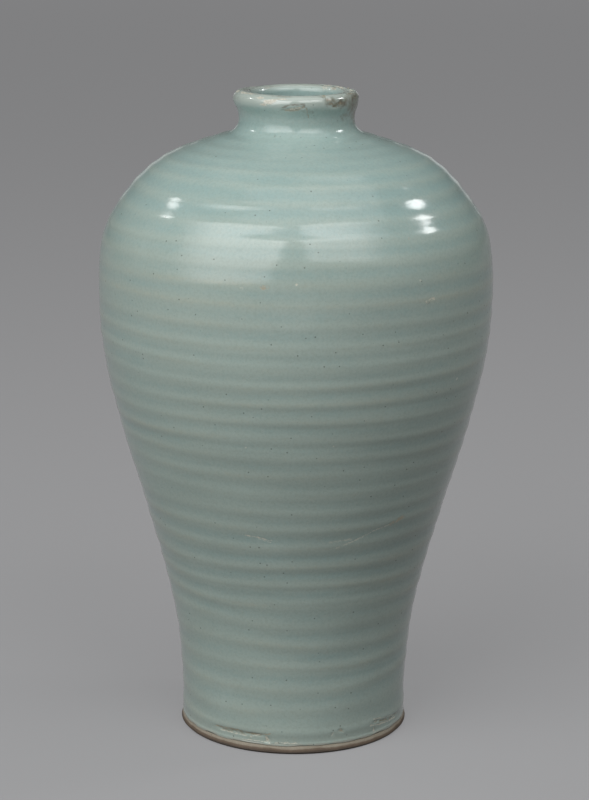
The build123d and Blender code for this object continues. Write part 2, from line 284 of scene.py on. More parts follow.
# Parts of the glaze, each with its own material: radius at which it is unrolled, refractive index and scars
GLAZE_INDEX = 1.5
LIP_INDEX = 1.7
Zone = namedtuple("Zone", "name radius index scars")
ZONES = [
    Zone("body", 66.0, GLAZE_INDEX, WAIST_SCARS + BODY_SPOTS),
    Zone("lip", 24.4, LIP_INDEX, LIP_SCARS),
    Zone("foot", 45.6, GLAZE_INDEX, FOOT_SCARS),
]
BODY_ZONE, LIP_ZONE, FOOT_ZONE = range(len(ZONES))
INSIDE_ZONE = Zone("inside", 20.0, GLAZE_INDEX, [])

# Colours of the glaze, of its flaws and of the clay
THIN_GLAZE = (0.415, 0.458, 0.388, 1.0)
GLAZE = (0.368, 0.450, 0.407, 1.0)
DEEP_GLAZE = (0.285, 0.405, 0.390, 1.0)
RIM_GLAZE = (0.455, 0.490, 0.440, 1.0)
# Dark olive of the drab rim top, also used as painted shade of the gap along its front edge
DRAB_GLAZE_AND_GAP_SHADE = (0.270, 0.280, 0.230, 1.0)
HEM_GLAZE = (0.400, 0.405, 0.350, 1.0)
CLOUD = (0.480, 0.560, 0.520, 1.0)
SPECK = (0.080, 0.090, 0.075, 1.0)
OLIVE = (0.190, 0.205, 0.160, 1.0)
GRIME = (0.150, 0.125, 0.085, 1.0)
WORN_CLAY = (0.620, 0.605, 0.525, 1.0)
DULL_CLAY = (0.420, 0.390, 0.300, 1.0)
BROWN_CLAY = (0.300, 0.260, 0.180, 1.0)
DARK_CLAY = (0.100, 0.090, 0.060, 1.0)
BUFF = (0.390, 0.355, 0.285, 1.0)
DULL_BUFF = (0.300, 0.255, 0.195, 1.0)
FOOT_BROWNS = ((0.115, 0.085, 0.060, 1.0), (0.190, 0.140, 0.100, 1.0))
# Painted shade of the foot's lowest edge, where it turns down and meets the floor
FOOT_CONTACT_SHADES = ((0.050, 0.040, 0.030, 1.0), (0.100, 0.075, 0.055, 1.0))
SLIP = (0.520, 0.450, 0.360, 1.0)
DULL_SLIP = (0.360, 0.290, 0.220, 1.0)
CLAY_SPECK = (0.070, 0.050, 0.040, 1.0)

# Noise: features to the metre, octaves, weight of the finer ones, and how it is squeezed along each axis
Noise = namedtuple("Noise", "scale detail roughness squeeze", defaults=(3.0, 0.55, (1.0, 1.0, 1.0)))
GLAZE_DRIFTS = Noise(24.0, 4.0, 0.6)
GLAZE_STREAKS = Noise(70.0, 4.0, 0.6, (1.0, 1.0, 3.5))
GLAZE_GRAIN = Noise(620.0, 3.0, 0.6)
BASE_DRIFTS = Noise(55.0)
CLOUDS = Noise(46.0, 5.0, 0.65)
MOTTLE = Noise(980.0, 3.0, 0.7)
POLISH = Noise(60.0)
PEEL = Noise(330.0, 2.0, 0.5)
HEM_PATCHES = Noise(260.0)
GRIME_PATCHES = Noise(420.0)
STAIN_PATCHES = Noise(520.0, 4.0, 0.65)
SCAR_PATCHES = Noise(640.0)
WORN_GRAIN = Noise(760.0, 4.0, 0.65)
WORN_DUST = Noise(1900.0, 3.0, 0.6)
BROWN_PATCHES = Noise(480.0)
CLAY_GRAIN = Noise(900.0, 5.0, 0.7)
CLAY_TONES = Noise(70.0, 4.0, 0.6)
TURNING_LINES = Noise(60.0, 4.0, 0.6, (1.0, 1.0, 40.0))

# How far noise swings a value, half of it either way
THICKNESS_SWINGS = [(GLAZE_DRIFTS, 0.45), (GLAZE_STREAKS, 0.35), (GLAZE_GRAIN, 0.45)]
BASE_SWING = 0.3
STAIN_SWING = 1.2
BARE_GRAIN_SWING = 0.8
BARE_DUST_SWING = 0.7
BROWN_SWING = 1.3
LINES_SWING = 0.5

# Values at which a layer starts to show and at which it is full
THIN_EDGE = (0.0, 0.5)
DEEP_EDGE = (0.45, 1.2)
CLOUD_EDGE = (0.52, 0.78)
MOTTLE_EDGE = (0.40, 0.70)
HEM_EDGE = (0.30, 0.55)
GRIME_EDGE = (0.40, 0.60)
STAIN_EDGE = (0.15, 0.95)
STAIN_START = (0.0, 0.3)
SCAR_EDGE = (0.34, 0.56)
BARE_EDGE = (0.40, 0.80)
BROWN_EDGE = (0.15, 0.85)
CLAY_EDGE = (0.35, 0.65)
TONE_EDGE = (0.30, 0.85)

# How strongly each layer covers the glaze
CLOUD_SHARE = 0.18
MOTTLE_SHARE = 0.16
RIM_SHARE = 0.65
DRAB_AND_GAP_SHADE_SHARE = 0.55
HEM_SHARE = 0.80
STAIN_SHARE = 0.90
BARE_SHARE = 0.85

# Specks: cells to the metre, reach of the dot in a cell, share of cells that have one, colour, strength
Speckle = namedtuple("Speckle", "scale reach share colour strength")
DOT_CORE = 0.4
GLAZE_SPECKLES = [
    Speckle(220.0, 0.094, 0.85, SPECK, 0.66),
    Speckle(390.0, 0.080, 0.50, SPECK, 0.34),
    Speckle(640.0, 0.130, 0.30, CREAM, 0.26),
]
CLAY_SPECKLES = Speckle(420.0, 0.14, 0.40, CLAY_SPECK, 0.70)
PINHOLE_SCALE = 430.0
PINHOLE_EDGE = (0.0, 0.16)

# Bumps: depth and strength
Bump = namedtuple("Bump", "depth strength")
PEEL_BUMP = Bump(0.06, 0.35)
PINHOLE_BUMP = Bump(0.05, 0.5)
WORN_EDGE_BUMP = Bump(0.10, 0.6)
WORN_GRAIN_BUMP = Bump(0.25, 0.7)
CLAY_GRAIN_BUMP = Bump(0.20, 0.6)
CLAY_LINES_BUMP = Bump(0.25, 0.5)

# Scars are shaken out of line, and fade between these shares of their half width
SCAR_SHAKE = 1.2
SCAR_SHAKE_SCALE = 900.0
SCAR_SHAKE_DETAIL = 2.0
SCAR_FADE = (1.5, 0.5)

# Roughness of glaze and clay
CELADON_ROUGHNESS = 0.10
BASE_ROUGHNESS = 0.08
GLAZE_ROUGHNESS_SPREAD = 0.08
RIM_POLISH = 0.07
WORN_ROUGHNESS = 0.50
CLAY_ROUGHNESS = 0.72
CLAY_ROUGHNESS_SPREAD = 0.2

# Fired clay: weights of its tones, and the heights where the bare foot turns brown and then dark with
# painted shade of its downward edge and its contact with the floor
GRAIN_WEIGHT = 0.5
TONES_WEIGHT = 0.6
FOOT_SWING = 1.8
BROWN_BAND = (2.6, 1.9)
CONTACT_SHADE_BAND = (1.9, 1.0)

# Camera and lamps: a soft box fades from its bright side to its far side, and down to its lower edge
CAMERA_PLACE = (-0.24, -950.0, 353.0)
CAMERA_PITCH = 77.045
CAMERA_ROLL = 0.32
CAMERA_LENS = 108.4
CAMERA_CLIP = (50.0, 50000.0)
LIT_POINT = (0.0, 0.0, 200.0)
Lamp = namedtuple("Lamp", "name azimuth elevation roll distance width height power bright_side",
                  defaults=(None,))
LAMPS = [
    Lamp("softbox_left", -47.0, 28.0, 8.0, 1300.0, 1600.0, 1230.0, 29.6, "right"),
    Lamp("softbox_right", 36.5, 40.0, -8.0, 1300.0, 1100.0, 710.0, 10.0, "left"),
    Lamp("side_lamp_left", -105.5, 36.0, 0.0, 1300.0, 160.0, 130.0, 0.6),
    Lamp("side_lamp_right", 103.0, 36.0, 0.0, 1300.0, 240.0, 190.0, 2.0),
    Lamp("top_lamp", 30.0, 72.0, 0.0, 1300.0, 1500.0, 1100.0, 4.5),
    Lamp("back_lamp", 180.0, 3.0, 0.0, 5000.0, 6600.0, 400.0, 0.9),
    Lamp("rim_lamp_left", -168.0, 2.5, 0.0, 6000.0, 1050.0, 840.0, 0.9),
    Lamp("rim_lamp_right", 168.0, 2.5, 0.0, 6000.0, 1050.0, 840.0, 1.2),
]
EVEN_SHARE = 0.52
FAR_SIDE_SHARE = 0.05
LOWER_EDGE_SHARE = 0.36
WORLD_LIGHT = 0.06
WORLD_COLOUR = (1.0, 1.0, 1.0, 1.0)

# Floor, just under the foot: paper with a glow where it is seen, and a grey that lights the vase
FLOOR_RADIUS = 9000.0
FLOOR_SIDES = 96
FLOOR_GAP = 0.02
PAPER = (0.160, 0.160, 0.163, 1.0)
PAPER_GLOW = (0.200, 0.200, 0.204, 1.0)
FLOOR_GREY = (0.09, 0.09, 0.09, 1.0)


def smoothstep(low, high, value):
    share = np.clip((value - low) / (high - low), 0.0, 1.0)
    return share * share * (3.0 - 2.0 * share)


def bell(middle, reach, value):
    return np.exp(-((value - middle) / reach) ** 2)


def turn_from(degrees, azimuth):
    """Angle from a place round the axis, at most half a turn either way."""
    return np.angle(np.exp(1j * (azimuth - math.radians(degrees))))


def nearness(mark, azimuth, offset):
    """One at a mark, falling away round the axis and with the offset along the outline."""
    round_axis = turn_from(mark.azimuth, azimuth) * mark.radius
    return bell(0.0, mark.around, round_axis) * bell(0.0, mark.along, offset)


def seam_loop(node):
    """The node's half section: (radius, height) points in order round it, read from its seam."""
    mesh = nodes[node].data
    points = np.zeros(len(mesh.vertices) * 3)
    mesh.vertices.foreach_get("co", points)
    points = points.reshape(-1, 3) / MM
    on_seam = (np.abs(points[:, 1]) < SEAM_WIDTH) & (points[:, 0] > 0)
    section = np.round(points[on_seam][:, [0, 2]], SEAM_DIGITS)
    places, place_of = np.unique(section, axis=0, return_inverse=True)
    names = np.full(len(points), -1)
    names[on_seam] = place_of.ravel()
    edges = np.zeros(len(mesh.edges) * 2, dtype=int)
    mesh.edges.foreach_get("vertices", edges)
    edges = names[edges.reshape(-1, 2)]
    edges = edges[(edges >= 0).all(axis=1) & (edges[:, 0] != edges[:, 1])]
    neighbours = {}
    for a, b in edges:
        neighbours.setdefault(a, set()).add(b)
        neighbours.setdefault(b, set()).add(a)
    start = min(neighbours, key=lambda name: (len(neighbours[name]), name))
    walk, seen = [start], {start}
    while len(seen) < len(neighbours):
        ahead = [name for name in neighbours[walk[-1]] if name not in seen]
        if not ahead:
            ahead = [name for name in neighbours if name not in seen]
        walk.append(min(ahead, key=lambda name: np.hypot(*(places[name] - places[walk[-1]]))))
        seen.add(walk[-1])
    return downwards(places[walk])


def downwards(loop):
    """The loop turned so that it runs down on the outside and up on the inside."""
    ahead = np.roll(loop, -1, axis=0)
    area = (loop[:, 0] * ahead[:, 1] - ahead[:, 0] * loop[:, 1]).sum()
    return loop if area < 0 else loop[::-1]


def lengths_along(points):
    return np.concatenate([[0.0], np.cumsum(np.hypot(*np.diff(points, axis=0).T))])


def points_at(points, along):
    """Points on a smooth curve through the given ones, at the given lengths along it."""
    lengths = lengths_along(points)
    slopes = np.gradient(points, lengths, axis=0)
    index = np.clip(np.searchsorted(lengths, along, side="right") - 1, 0, len(lengths) - 2)
    span = lengths[index + 1] - lengths[index]
    share = ((along - lengths[index]) / span)[..., None]
    span = span[..., None]
    return (points[index] * (1 + 2 * share) * (1 - share) ** 2
            + slopes[index] * span * share * (1 - share) ** 2
            + points[index + 1] * share ** 2 * (3 - 2 * share)
            + slopes[index + 1] * span * share ** 2 * (share - 1))


def evenly(points, step):
    """Points at even steps on a smooth curve through the given ones."""
    total = lengths_along(points)[-1]
    return points_at(points, np.linspace(0.0, total, int(round(total / step)) + 1))


def filled(loop, step):
    """The points of a closed line with more set straight between them, none further apart than the step."""
    rows = []
    for start, end in zip(loop, np.roll(loop, -1, axis=0)):
        count = math.ceil(np.hypot(*(end - start)) / step)
        rows.append(start + (end - start) * np.arange(count)[:, None] / count)
    return np.concatenate(rows)


def blurred(points, reach):
    """Points averaged with their neighbours along the line, with the ends held."""
    half = int(round(3 * reach / FINE_STEP))
    weights = np.exp(-0.5 * (np.arange(-half, half + 1) * FINE_STEP / reach) ** 2)
    weights /= weights.sum()
    ends = [2 * points[0] - points[half:0:-1], points, 2 * points[-1] - points[-2:-half - 2:-1]]
    padded = np.concatenate(ends)
    return np.stack([np.convolve(column, weights, mode="valid") for column in padded.T], axis=1)


def outward(points):
    """Unit normals on the left of the walk: outside the vase, on the way from mouth to foot."""
    tangents = np.gradient(points, axis=0)
    tangents /= np.hypot(*tangents.T)[:, None]
    return np.stack([-tangents[:, 1], tangents[:, 0]], axis=1)


class Outline:
    """The outside of the glaze from mouth to foot: its even line, the ribs on it and the clay under it."""

    def __init__(self, node):
        loop = seam_loop(node)
        mouth = np.lexsort((-loop[:, 1], loop[:, 0]))[0]
        loop = np.roll(loop, -mouth, axis=0)
        foot = np.argmin(loop[:, 1])
        self.outside = blurred(evenly(loop[:foot + 1], FINE_STEP), 2 * FINE_STEP)
        self.clay_side = evenly(loop[foot:], FINE_STEP)
        self.along = np.arange(len(self.outside)) * FINE_STEP
        self.heights = self.outside[:, 1]
        rising = smoothstep(RIBS_START, RIBS_FULL, self.heights)
        self.ribbed = rising * (1 - smoothstep(RIBS_FADE, RIBS_END, self.heights))
        even = blurred(self.outside, RIB_BLUR)
        even += blurred(self.outside - even, RIB_BLUR)
        packed = self.outside + (even - self.outside) * self.ribbed[:, None]
        self.relief = ((self.outside - packed) * outward(packed)).sum(axis=1)
        self.line = self.fuller(packed)
        self.normal = outward(self.line)
        self.coat = np.array([np.hypot(*(self.clay_side - point).T).min() for point in self.outside])
        self.clay = self.relief - self.coat - ((self.line - packed) * self.normal).sum(axis=1)

    def fuller(self, line):
        """The even line moved out to the wall that the vase shows, but not past the ledge of its foot."""
        extra = np.interp(self.heights, *zip(*FULLNESS))
        radius = line[:, 0] + blurred(extra[:, None], FULLNESS_BLUR)[:, 0]
        foot = self.heights < LEDGE_TOP
        radius[foot] = np.maximum(line[foot, 0], np.minimum(radius[foot], line[foot, 0].max()))
        return np.stack([radius, line[:, 1]], axis=1)

    def nearest(self, radius, height):
        """Length along the outside at the point nearest to the given one."""
        return self.along[np.argmin(np.hypot(self.outside[:, 0] - radius, self.heights - height))]

    def look_up(self, values, along):
        """A value of the outline at lengths along it, straight between its fine points."""
        if values.ndim == 1:
            return np.interp(along, self.along, values)
        return np.stack([np.interp(along, self.along, column) for column in values.T], axis=-1)


class Surface:
    """Unevenness and wear of the glaze at each azimuth and length along the outline."""

    def __init__(self, outline):
        self.outline = outline

    def wave(self, name, azimuth, along):
        """Smooth seeded unevenness about zero, mostly within one, with no seam round the axis."""
        orders, lengths, terms = WAVES[name]
        rng = np.random.default_rng([SEED, list(WAVES).index(name)])
        total = np.zeros(np.broadcast_shapes(np.shape(azimuth), np.shape(along)))
        for _ in range(terms):
            order = rng.integers(orders[0], orders[1] + 1)
            length = rng.uniform(*lengths) * rng.choice([-1.0, 1.0])
            phase = rng.uniform(0.0, 2 * math.pi)
            total += np.cos(order * azimuth + 2 * math.pi * along / length + phase)
        return total / math.sqrt(terms)

    def level(self, along):
        return self.outline.look_up(self.outline.heights, along)

    def rib_height(self, azimuth, along):
        drift = RIB_DRIFT * self.wave("drift", azimuth, along)
        strength = np.interp(self.level(along), *zip(*RIB_STRENGTHS))
        strength = strength + RIB_STRENGTH_SPREAD * self.wave("strength", azimuth, along)
        strength = np.clip(strength, LEAST_RIB_STRENGTH, MOST_RIB_STRENGTH)
        return self.outline.look_up(self.outline.relief, along + drift) * strength

    def uneven(self, azimuth, along):
        """Height of the glaze over the even line before wear."""
        ribbed = self.outline.look_up(self.outline.ribbed, along)
        dents = DENT_DEPTH * self.wave("dents", azimuth, along)
        rings = RING_DEPTH * self.wave("rings", azimuth, along)
        return ribbed * (self.rib_height(azimuth, along) + dents + rings)

    def falloff(self, mark, azimuth, along):
        return nearness(mark, azimuth, along - self.outline.nearest(mark.radius, mark.height))

    def wear(self, azimuth, along):
        """Depth lost, how bare and how brown, from the marks on the lip and above the foot."""
        rough = 1.0 + CHIP_ROUGHNESS * self.wave("rough", azimuth, along)
        shape = np.broadcast_shapes(azimuth.shape, along.shape)
        depth, bare, brown, weight = (np.zeros(shape) for _ in range(4))
        for mark in LIP_MARKS + FOOT_MARKS:
            near = self.falloff(mark, azimuth, along)
            depth = np.maximum(depth, mark.depth * np.clip(CHIP_STEEPNESS * near * rough, 0.0, CHIP_LIMIT))
            bare = np.maximum(bare, mark.bare * near)
            brown += mark.brown * near
            weight += near
        return depth, bare, brown / (weight + LEAST_WEIGHT)

    def worn(self, azimuth, along):
        """Height of the finished glaze over the even line, and how far the neck's clay is lost under it."""
        depth = self.wear(azimuth, along)[0]
        height = self.uneven(azimuth, along) - depth
        least = self.outline.look_up(self.outline.clay, along) + LEAST_COAT
        on_lip = smoothstep(LIP_FOOT, LIP_FOOT + CHIP_RISE, self.level(along))
        lost = np.clip(least - height, 0.0, None) * on_lip
        return np.maximum(height, least - lost), lost

    def stain(self, azimuth, along):
        total = np.zeros(np.broadcast_shapes(azimuth.shape, along.shape))
        for mark in STAINS:
            total = np.maximum(total, mark.strength * self.falloff(mark, azimuth, along))
        return total

    def edge_lift(self, azimuth):
        """How far up the outline the glaze ends, round the foot."""
        share = EDGE_LIFT_MEAN + EDGE_LIFT_SPREAD * self.wave("edge", azimuth, 0.0)
        return GLAZE_EDGE_LIFT * np.clip(share, 0.0, 1.0)

    def pool(self, azimuth, along):
        """How deep the glaze lies, from nought on a sharp crest to one and more in a hollow."""
        level = self.level(along)
        shoulder = smoothstep(*SHOULDER_POOL_REACH, level)
        thinning = CREST_THINNING + SHOULDER_THINNING * shoulder
        thinning += LINES_THINNING * bell(LINES_HEIGHT, LINES_REACH, level)
        relief = self.rib_height(azimuth, along) / np.abs(self.outline.relief).max()
        depth = WALL_POOL - thinning * relief * self.outline.look_up(self.outline.ribbed, along)
        depth += SHOULDER_POOL * shoulder
        depth += NECK_POOL * bell(NECK_HOLLOW, NECK_HOLLOW_REACH, level)
        depth += FOOT_POOL * (1.0 - smoothstep(*FOOT_POOL_REACH, level))
        return np.clip(depth, 0.0, MOST_POOL)

    def mouth(self, azimuth, along):
        """How drab the top of the rim is beside the mouth, most of all in front, with painted shade of the
        gap to the inner wall along its front edge, over brownish wear.
        """
        patches = 1.0 + DRAB_SPREAD * self.wave("mouth", azimuth, 0.0)
        turn = turn_from(0.0, azimuth)
        front = DRAB_ALL_ROUND + DRAB_FRONT * bell(DRAB_MIDDLE, DRAB_REACH, turn)
        drab = np.clip(patches * front, 0.0, 1.0) * (1.0 - smoothstep(*DRAB_WIDTH, along))
        # The dark front edge: painted shade of the gap between rim and inner wall, over brownish wear
        edge = smoothstep(*GAP_SHADE_START, turn) * (1.0 - smoothstep(*GAP_SHADE_END, turn))
        return drab + edge * (1.0 - smoothstep(*GAP_SHADE_WIDTH, along))


def row_places(outline):
    """Lengths along the outside where the mesh has its rows, closer on the lip and above the foot."""
    places, at, end = [0.0], 0.0, outline.along[-1]
    while at < end:
        height = outline.look_up(outline.heights, at)
        step = LIP_STEP if height > LIP_ZONE_FOOT else FOOT_STEP if height < FOOT_ZONE_TOP else BODY_STEP
        at = min(at + step, end)
        places.append(at)
    return np.array(places)


def by_azimuth(pairs, azimuth):
    """A value given at some azimuths in degrees, straight between them all the way round."""
    return np.interp(np.degrees(azimuth), *zip(*pairs), period=360.0)


def settled(profile, azimuth):
    """The section at each azimuth, its lip let down and swollen, and the back of its shoulder sagged."""
    radius, height = profile[..., 0], profile[..., 1]
    roll = bell(LIP_ROLL, LIP_ROLL_REACH, height)
    drop = by_azimuth(LIP_DROPS, azimuth) * smoothstep(LIP_FOOT, LIP_TOP, height)
    sagging = smoothstep(SAG_FOOT, SAG_FULL, height) * (1.0 - smoothstep(SAG_FULL, SAG_END, height))
    drop = drop + SHOULDER_SAG * (0.5 - 0.5 * np.cos(azimuth)) * sagging
    return np.stack([radius + by_azimuth(LIP_SWELLS, azimuth) * roll, height - drop], axis=-1)


def turned(profile, azimuth):
    """Points in metres from radius and height at each azimuth: profile is (rows, segments, 2)."""
    radius, height = profile[..., 0] * MM, profile[..., 1] * MM
    return np.stack([radius * np.sin(azimuth), -radius * np.cos(azimuth), height], axis=-1)


def ring_mesh(name, points, attributes):
    """A closed mesh from rows of points round the axis, where the last row joins the first."""
    rows, segments = points.shape[:2]
    index = np.arange(rows * segments).reshape(rows, segments)
    right, below = np.roll(index, -1, axis=1), np.roll(index, -1, axis=0)
    corner = np.roll(below, -1, axis=1)
    faces = np.stack([index, below, corner, right], axis=-1).reshape(-1, 4)
    mesh = bpy.data.meshes.new(name)
    mesh.from_pydata(points.reshape(-1, 3).tolist(), [], faces.tolist())
    mesh.polygons.foreach_set("use_smooth", np.ones(len(faces), dtype=bool))
    for key, values in attributes.items():
        layer = mesh.attributes.new(key, "FLOAT", "POINT")
        layer.data.foreach_set("value", np.ascontiguousarray(values, dtype=np.float32).ravel())
    mesh.update()
    piece = bpy.data.objects.new(name, mesh)
    bpy.context.scene.collection.objects.link(piece)
    return piece


def azimuths(count=SEGMENTS):
    return np.linspace(0.0, 2 * math.pi, count, endpoint=False)[None, :]


def make_celadon_skin(outline, surface):
    """The glaze with its ribs, dents and wear, closed by the side that lies on the clay."""
    azimuth = azimuths()
    rows = row_places(outline)[:, None]
    from_edge = outline.along[-1] - rows
    near_foot = smoothstep(0.0, 1.0, 1.0 - from_edge / FOOT_ZONE_TOP)
    along = rows - near_foot * surface.edge_lift(azimuth)
    height, _ = surface.worn(azimuth, along)
    raised = outline.look_up(outline.normal, along) * height[..., None]
    outside = outline.look_up(outline.line, along) + raised
    clay = worn_clay(outline, surface, evenly(outline.clay_side, CLAY_SIDE_STEP), azimuth)

    _, bare, brown = surface.wear(azimuth, along)
    values = {
        "pool": surface.pool(azimuth, along),
        "bare": bare,
        "brown": brown,
        "rim": smoothstep(RIM_FOOT, RIM_FULL, surface.level(along)),
        "mouth": surface.mouth(azimuth, along),
        "hem": np.broadcast_to(1.0 - smoothstep(HEM_FULL, HEM_END, from_edge), bare.shape),
        "stain": surface.stain(azimuth, along),
    }
    spare = np.zeros(clay.shape[:2])
    attributes = {key: np.concatenate([value, spare]) for key, value in values.items()}
    profile = np.concatenate([outside, clay])
    skin = ring_mesh("celadon_skin", turned(settled(profile, azimuth), azimuth), attributes)
    levels = profile[:, 0, 1]
    zones = np.where(levels > LIP_ZONE_FOOT, LIP_ZONE, BODY_ZONE)
    zones = np.where(levels < FOOT_ZONE_TOP, FOOT_ZONE, zones)
    skin.data.polygons.foreach_set("material_index", np.repeat(zones, SEGMENTS))
    return skin


def worn_clay(outline, surface, rows, azimuth):
    """Rows of the clay's section at each azimuth, set back where the lip is chipped."""
    places = np.array([outline.nearest(*row) for row in rows])[:, None]
    from_outside = np.hypot(*(rows - outline.look_up(outline.outside, places[:, 0])).T)
    under_glaze = from_outside < CLAY_REACH * outline.coat.max()
    _, lost = surface.worn(azimuth, places)
    inwards = -outline.look_up(outline.normal, places)
    return rows[:, None, :] + inwards * (lost * under_glaze[:, None])[..., None]


def make_neck_clay(outline, surface):
    """The neck under the glaze, chipped where the lip is."""
    rows = filled(seam_loop("neck"), NECK_STEP)
    azimuth = azimuths()
    profile = settled(worn_clay(outline, surface, rows, azimuth), azimuth)
    return ring_mesh("neck_clay", turned(profile, azimuth), {})


def make_inside_skin():
    """The glaze inside, let down with the lip, pale and worn towards the mouth."""
    azimuth = azimuths(INSIDE_SEGMENTS)
    rows = filled(seam_loop("inner_glaze"), INSIDE_STEP)
    profile = np.broadcast_to(rows[:, None, :], (len(rows), INSIDE_SEGMENTS, 2))
    height = profile[..., 1]
    bare, brown = np.zeros(height.shape), np.zeros(height.shape)
    for mark in INSIDE_MARKS:
        near = nearness(mark, azimuth, height - mark.height)
        bare = np.maximum(bare, mark.bare * near)
        brown = np.maximum(brown, mark.brown * near)
    attributes = {
        "pool": np.full(height.shape, INSIDE_POOL),
        "bare": bare,
        "brown": brown,
        "rim": smoothstep(RIM_FULL, LIP_TOP, height),
    }
    return ring_mesh("inside_skin", turned(settled(profile, azimuth), azimuth), attributes)


class Shader:
    """One node tree, written step by step. A socket given as an input is linked, anything else is set."""

    def __init__(self, tree):
        self.tree = tree
        self.tree.nodes.clear()

    def node(self, kind, inputs=None, **settings):
        made = self.tree.nodes.new(kind)
        for key, value in settings.items():
            setattr(made, key, value)
        for key, value in (inputs or {}).items():
            self.put(made.inputs[key], value)
        return made

    def put(self, socket, value):
        if isinstance(value, bpy.types.NodeSocket):
            self.tree.links.new(value, socket)
        else:
            socket.default_value = value

    def place(self):
        return self.node("ShaderNodeTexCoord").outputs["Object"]

    def math(self, operation, a, b=0.0, clamp=False):
        return self.node("ShaderNodeMath", {0: a, 1: b}, operation=operation, use_clamp=clamp).outputs[0]

    def vector(self, operation, inputs, output=0):
        return self.node("ShaderNodeVectorMath", inputs, operation=operation).outputs[output]

    def swing(self, value, reach):
        """A noise value turned into a change of up to half the reach either way."""
        return self.math("MULTIPLY", self.math("SUBTRACT", value, 0.5), reach)

    def mix(self, share, a, b):
        made = self.node("ShaderNodeMix", data_type="RGBA")
        for index, value in ((0, share), (6, a), (7, b)):
            self.put(made.inputs[index], value)
        return made.outputs[2]

    def laid_over(self, colour, tint, cover, share):
        """A colour under a layer of another, which covers it by the share where its cover is one."""
        return self.mix(self.math("MULTIPLY", cover, share), colour, tint)

    def noise(self, noise):
        place = self.node("ShaderNodeMapping", {"Vector": self.place(), "Scale": noise.squeeze}).outputs[0]
        inputs = {"Vector": place, "Scale": noise.scale, "Detail": noise.detail}
        return self.node("ShaderNodeTexNoise", {**inputs, "Roughness": noise.roughness}).outputs["Fac"]

    def height(self):
        return self.node("ShaderNodeSeparateXYZ", {0: self.place()}).outputs["Z"]

    def laid_flat(self, radius):
        """The place on the wall in metres, unrolled at the given radius and shaken a little."""
        sides = self.node("ShaderNodeSeparateXYZ", {0: self.place()}).outputs
        turn = self.math("ARCTAN2", sides["X"], self.math("MULTIPLY", sides["Y"], -1.0))
        round_axis = self.math("MULTIPLY", turn, radius * MM)
        flat = self.node("ShaderNodeCombineXYZ", {"X": round_axis, "Y": sides["Z"]}).outputs[0]
        inputs = {"Vector": self.place(), "Scale": SCAR_SHAKE_SCALE, "Detail": SCAR_SHAKE_DETAIL}
        shake = self.node("ShaderNodeTexNoise", inputs).outputs["Color"]
        shift = self.vector("SUBTRACT", {0: shake, 1: (0.5, 0.5, 0.5)})
        reach = (SCAR_SHAKE * MM, SCAR_SHAKE * MM, 0.0)
        return self.vector("ADD", {0: flat, 1: self.vector("MULTIPLY", {0: shift, 1: reach})})

    def cells(self, scale):
        """Distance to the middle of the cell that a place lies in, and a chance value of that cell."""
        made = self.node("ShaderNodeTexVoronoi", {"Vector": self.place(), "Scale": scale})
        chance = self.node("ShaderNodeSeparateColor", {0: made.outputs["Color"]}).outputs[0]
        return made.outputs["Distance"], chance

    def step(self, value, low, high):
        """Zero below low, one above high and smooth between, or the other way round if low is above."""
        ends = {"From Min": min(low, high), "From Max": max(low, high), "To Min": float(low > high),
                "To Max": float(low < high)}
        made = self.node("ShaderNodeMapRange", {"Value": value, **ends}, interpolation_type="SMOOTHSTEP")
        return made.outputs["Result"]

    def attribute(self, name):
        return self.node("ShaderNodeAttribute", attribute_name=name).outputs["Fac"]

    def bump(self, height, bump, below=None):
        inputs = {"Height": height, "Distance": bump.depth * MM, "Strength": bump.strength}
        if below:
            inputs["Normal"] = below
        return self.node("ShaderNodeBump", inputs).outputs["Normal"]

    def distance_to(self, start, end, place):
        """Distance from a place to the straight stretch between two points, in metres."""
        run = end - start
        offset = self.vector("SUBTRACT", {0: place, 1: start})
        dot = self.vector("DOT_PRODUCT", {0: offset, 1: run}, "Value")
        share = self.math("DIVIDE", dot, run.length_squared, clamp=True)
        nearest = self.vector("SCALE", {0: run, "Scale": share})
        return self.vector("DISTANCE", {0: offset, 1: nearest}, "Value")

    def surface(self, colour, roughness, normal, **constants):
        inputs = {"Base Color": colour, "Roughness": roughness, "Normal": normal}
        shader = self.node("ShaderNodeBsdfPrincipled", inputs)
        for key, value in constants.items():
            shader.inputs[key.replace("_", " ")].default_value = value
        self.node("ShaderNodeOutputMaterial", {"Surface": shader.outputs[0]})


def new_material(name):
    material = bpy.data.materials.new(name)
    material.use_nodes = True
    return material, Shader(material.node_tree)


def glaze_colour(s, pool):
    """Celadon by its thickness: warm and grey where it is thin, blue-green where it lies deep."""
    thickness = pool
    for noise, reach in THICKNESS_SWINGS:
        thickness = s.math("ADD", thickness, s.swing(s.noise(noise), reach))
    colour = s.mix(s.step(thickness, *THIN_EDGE), THIN_GLAZE, GLAZE)
    colour = s.mix(s.step(thickness, *DEEP_EDGE), colour, DEEP_GLAZE)
    colour = s.laid_over(colour, CLOUD, s.step(s.noise(CLOUDS), *CLOUD_EDGE), CLOUD_SHARE)
    return s.laid_over(colour, OLIVE, s.step(s.noise(MOTTLE), *MOTTLE_EDGE), MOTTLE_SHARE)


def speckled(s, colour, speckle):
    """Fired-in specks: a dot in some of the cells of a coarse pattern."""
    distance, chance = s.cells(speckle.scale)
    chosen = s.math("LESS_THAN", chance, speckle.share)
    dot = s.math("MULTIPLY", s.step(distance, speckle.reach, speckle.reach * DOT_CORE), chosen)
    return s.laid_over(colour, speckle.colour, dot, speckle.strength)


def glaze_specks(s, colour):
    """Dark iron specks, fine grey ones and pale bubbles."""
    for speckle in GLAZE_SPECKLES:
        colour = speckled(s, colour, speckle)
    return colour


def glaze_roughness(s, least):
    return s.math("ADD", least, s.math("MULTIPLY", s.noise(POLISH), GLAZE_ROUGHNESS_SPREAD))


